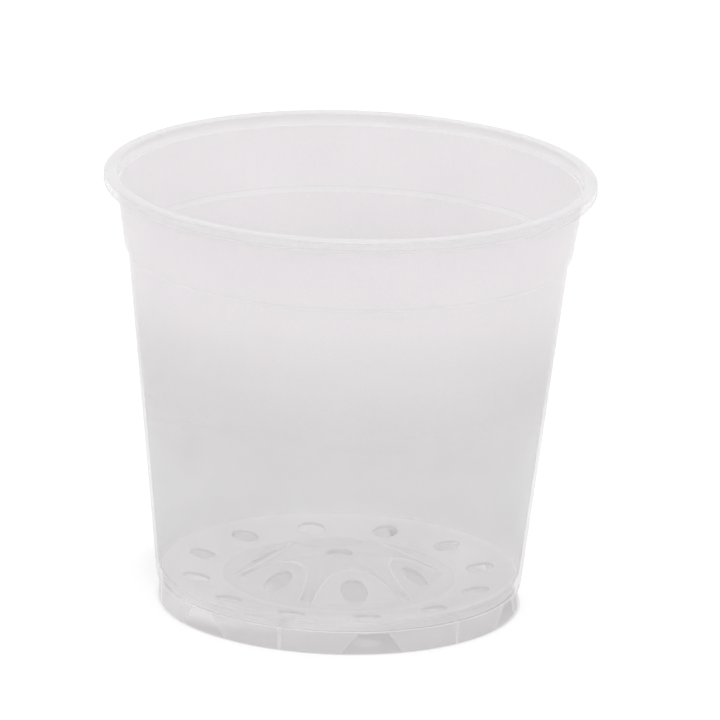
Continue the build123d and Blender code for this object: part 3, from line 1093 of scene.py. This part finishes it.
def behind_white(tree, plain, white):
    """Shows white to the camera, in reflections and through glass, and a plain shader to other rays."""
    path = node(tree, "ShaderNodeLightPath").outputs
    seen = sums(tree, "MAXIMUM", path["Is Camera Ray"], path["Is Glossy Ray"])
    seen = sums(tree, "MAXIMUM", seen, path["Is Transmission Ray"])
    return node(tree, "ShaderNodeMixShader", {0: seen, 1: plain, 2: white}).outputs[0]


class ORCHIDPOT_OT_stage(Operator):
    """Sets the white floor, the soft studio light and the camera"""

    bl_idname = "orchidpot.stage"
    bl_label = "Stage"

    def execute(self, context):
        scene, studio = context.scene, context.scene.pot_studio
        scene.view_settings.view_transform = "Standard"
        scene.cycles.transparent_max_bounces = CLEAR_BOUNCES
        self.floor(studio)
        self.dome(scene, studio)
        self.key(studio)
        self.camera(scene, studio)
        return {"FINISHED"}

    def floor(self, studio):
        """White paper with the pot's shade painted on it, greyer under and close behind the pot."""
        mesh = bmesh.new()
        bmesh.ops.create_grid(mesh, x_segments=1, y_segments=1, size=PAPER_REACH)
        bmesh.ops.translate(mesh, verts=mesh.verts[:], vec=(0, 0, -TOUCH))
        data = bpy.data.meshes.new("studio_floor")
        mesh.to_mesh(data)
        mesh.free()
        paper = bpy.data.materials.new("white_paper")
        paper.use_nodes = True
        tree = paper.node_tree
        tree.nodes.remove(tree.nodes["Principled BSDF"])
        plain = node(tree, "ShaderNodeBsdfDiffuse", {"Color": (studio.floor_bounce,) * 3 + (1,)})
        shade = self.painted_pot_shade(tree, studio)
        scaled = {0: shade, "Scale": studio.floor_white}
        reached = node(tree, "ShaderNodeVectorMath", scaled, operation="SCALE").outputs[0]
        lit = node(tree, "ShaderNodeBsdfDiffuse", {"Color": reached})
        glow = node(tree, "ShaderNodeEmission", {"Color": shade, "Strength": studio.floor_glow})
        white = node(tree, "ShaderNodeAddShader", {0: lit.outputs[0], 1: glow.outputs[0]})
        shown = behind_white(tree, plain.outputs[0], white.outputs[0])
        tree.links.new(shown, tree.nodes["Material Output"].inputs["Surface"])
        data.materials.append(paper)
        floor = put("studio_floor", data)

    @staticmethod
    def painted_pot_shade(tree, studio):
        """Painted shade: how much of the paper's white is left under the pot, close behind it and away
        from it.
        """
        where = node(tree, "ShaderNodeTexCoord").outputs["Object"]

        def measure(operation, *spots):
            inputs = dict(enumerate((where, *spots)))
            return node(tree, "ShaderNodeVectorMath", inputs, operation=operation).outputs["Value"]

        reach = studio.under_reach
        foot = span("foot_ring")[0] + MM
        front = foot + reach
        away = measure("LENGTH")
        from_light = measure("DISTANCE", place(-reach, 0, studio.under_turn))
        from_back = measure("DISTANCE", place(-reach, 0))
        start, end = studio.under_start * front, studio.under_end * front
        # Painted shade: lighter under the middle and at the holes, darkest just inside the front of the
        # foot, fading out close behind the pot.
        middle = ramp(tree, from_back, reach, HOLES_AT * reach, studio.under_middle, studio.under_holes)
        inside = ramp(tree, from_light, start, end, middle, studio.under_shade)
        behind = ramp(tree, from_back, BEHIND_START * foot, BEHIND_END * foot, studio.under_middle)
        under = ramp(tree, away, foot - FOOT_BLUR, foot, inside, behind, "LINEAR")
        tint = {
            "Red": under,
            "Green": sums(tree, "POWER", under, GREEN_LOSS),
            "Blue": sums(tree, "POWER", under, BLUE_LOSS),
        }
        return node(tree, "ShaderNodeCombineColor", tint).outputs[0]

    def dome(self, scene, studio):
        """Soft light from all sides in front of a white background."""
        world = bpy.data.worlds.new("studio_dome")
        scene.world = world
        world.use_nodes = True
        tree = world.node_tree
        soft = tree.nodes["Background"]
        soft.inputs["Color"].default_value = (1, 1, 1, 1)
        facing = node(tree, "ShaderNodeTexCoord").outputs["Generated"]
        rise = node(tree, "ShaderNodeSeparateXYZ", {0: facing}).outputs["Z"]
        level = ramp(tree, rise, 0.0, 1.0, studio.dome_side, studio.dome_top, "LINEAR")
        tree.links.new(level, soft.inputs["Strength"])
        white = node(tree, "ShaderNodeBackground", {"Color": (1, 1, 1, 1), "Strength": 1.0})
        shown = behind_white(tree, soft.outputs[0], white.outputs[0])
        tree.links.new(shown, tree.nodes["World Output"].inputs["Surface"])

    def key(self, studio):
        """The large softbox overhead."""
        data = bpy.data.lights.new("overhead_softbox", "AREA")
        data.shape = "DISK"
        data.size = studio.key_size
        data.energy = studio.key_power
        lamp = put("overhead_softbox", data)
        away = place(cos(studio.key_rise), sin(studio.key_rise), studio.turn)
        lamp.location = away * studio.distance
        lamp.rotation_euler = away.to_track_quat("Z", "Y").to_euler()

    def camera(self, scene, studio):
        """A long lens, a little above the pot."""
        turn, rise, roll = studio.turn, studio.elevation, studio.roll
        back = Vector((cos(rise) * sin(turn), -cos(rise) * cos(turn), sin(rise)))
        right = Vector((cos(turn), sin(turn), 0))
        up = back.cross(right)
        across = right * cos(roll) + up * sin(roll)
        upright = up * cos(roll) - right * sin(roll)
        aim = Vector((0, 0, studio.aim_height)) + across * studio.aim_right + upright * studio.aim_up
        data = bpy.data.cameras.new("photo_camera")
        data.sensor_width = SENSOR
        data.lens = studio.lens
        camera = put("photo_camera", data)
        facing = Matrix((across, upright, back)).transposed().to_4x4()
        camera.matrix_world = Matrix.Translation(aim + back * studio.distance) @ facing
        scene.camera = camera


class ORCHIDPOT_PT_sidebar(Panel):
    """Lists the pot's pieces and sizes in the 3D view's sidebar"""

    bl_idname = "ORCHIDPOT_PT_sidebar"
    bl_label = "Orchid Pot"
    bl_space_type = "VIEW_3D"
    bl_region_type = "UI"
    bl_category = "Orchid Pot"

    def draw(self, context):
        for operator in OPERATORS:
            self.layout.operator(operator.bl_idname)
        for name in SETTINGS:
            group = getattr(context.scene, name)
            box = self.layout.box()
            for prop in group.bl_rna.properties:
                if prop.identifier not in {"rna_type", "name"}:
                    box.prop(group, prop.identifier)


SETTINGS = {
    "pot_walls": PotWallSizes,
    "pot_floor": PotFloorSizes,
    "pot_crown": PotCrownSizes,
    "pot_foot": PotFootSizes,
    "pot_finish": PotFinish,
    "pot_studio": StudioSettings,
}
OPERATORS = (
    ORCHIDPOT_OT_stage,
    ORCHIDPOT_OT_rim,
    ORCHIDPOT_OT_collar,
    ORCHIDPOT_OT_shoulder,
    ORCHIDPOT_OT_side_wall,
    ORCHIDPOT_OT_floor_ring,
    ORCHIDPOT_OT_drain_crown,
    ORCHIDPOT_OT_foot_ring,
    ORCHIDPOT_OT_foot_ribs,
)
CLASSES = (*SETTINGS.values(), *OPERATORS, ORCHIDPOT_PT_sidebar)


def register():
    """Registers the classes and puts the settings on the scene."""
    for entry in CLASSES:
        bpy.utils.register_class(entry)
    for name, group in SETTINGS.items():
        setattr(bpy.types.Scene, name, PointerProperty(type=group))


def unregister():
    """Takes the settings off the scene and the classes out again."""
    for name in SETTINGS:
        delattr(bpy.types.Scene, name)
    for entry in reversed(CLASSES):
        bpy.utils.unregister_class(entry)


def main():
    """Builds the pot on its stage."""
    register()
    bpy.ops.orchidpot.stage()
    bpy.ops.orchidpot.rim()
    bpy.ops.orchidpot.collar()
    bpy.ops.orchidpot.shoulder()
    bpy.ops.orchidpot.side_wall()
    bpy.ops.orchidpot.floor_ring()
    bpy.ops.orchidpot.drain_crown()
    bpy.ops.orchidpot.foot_ring()
    bpy.ops.orchidpot.foot_ribs()


if __name__ == "__main__":
    main()
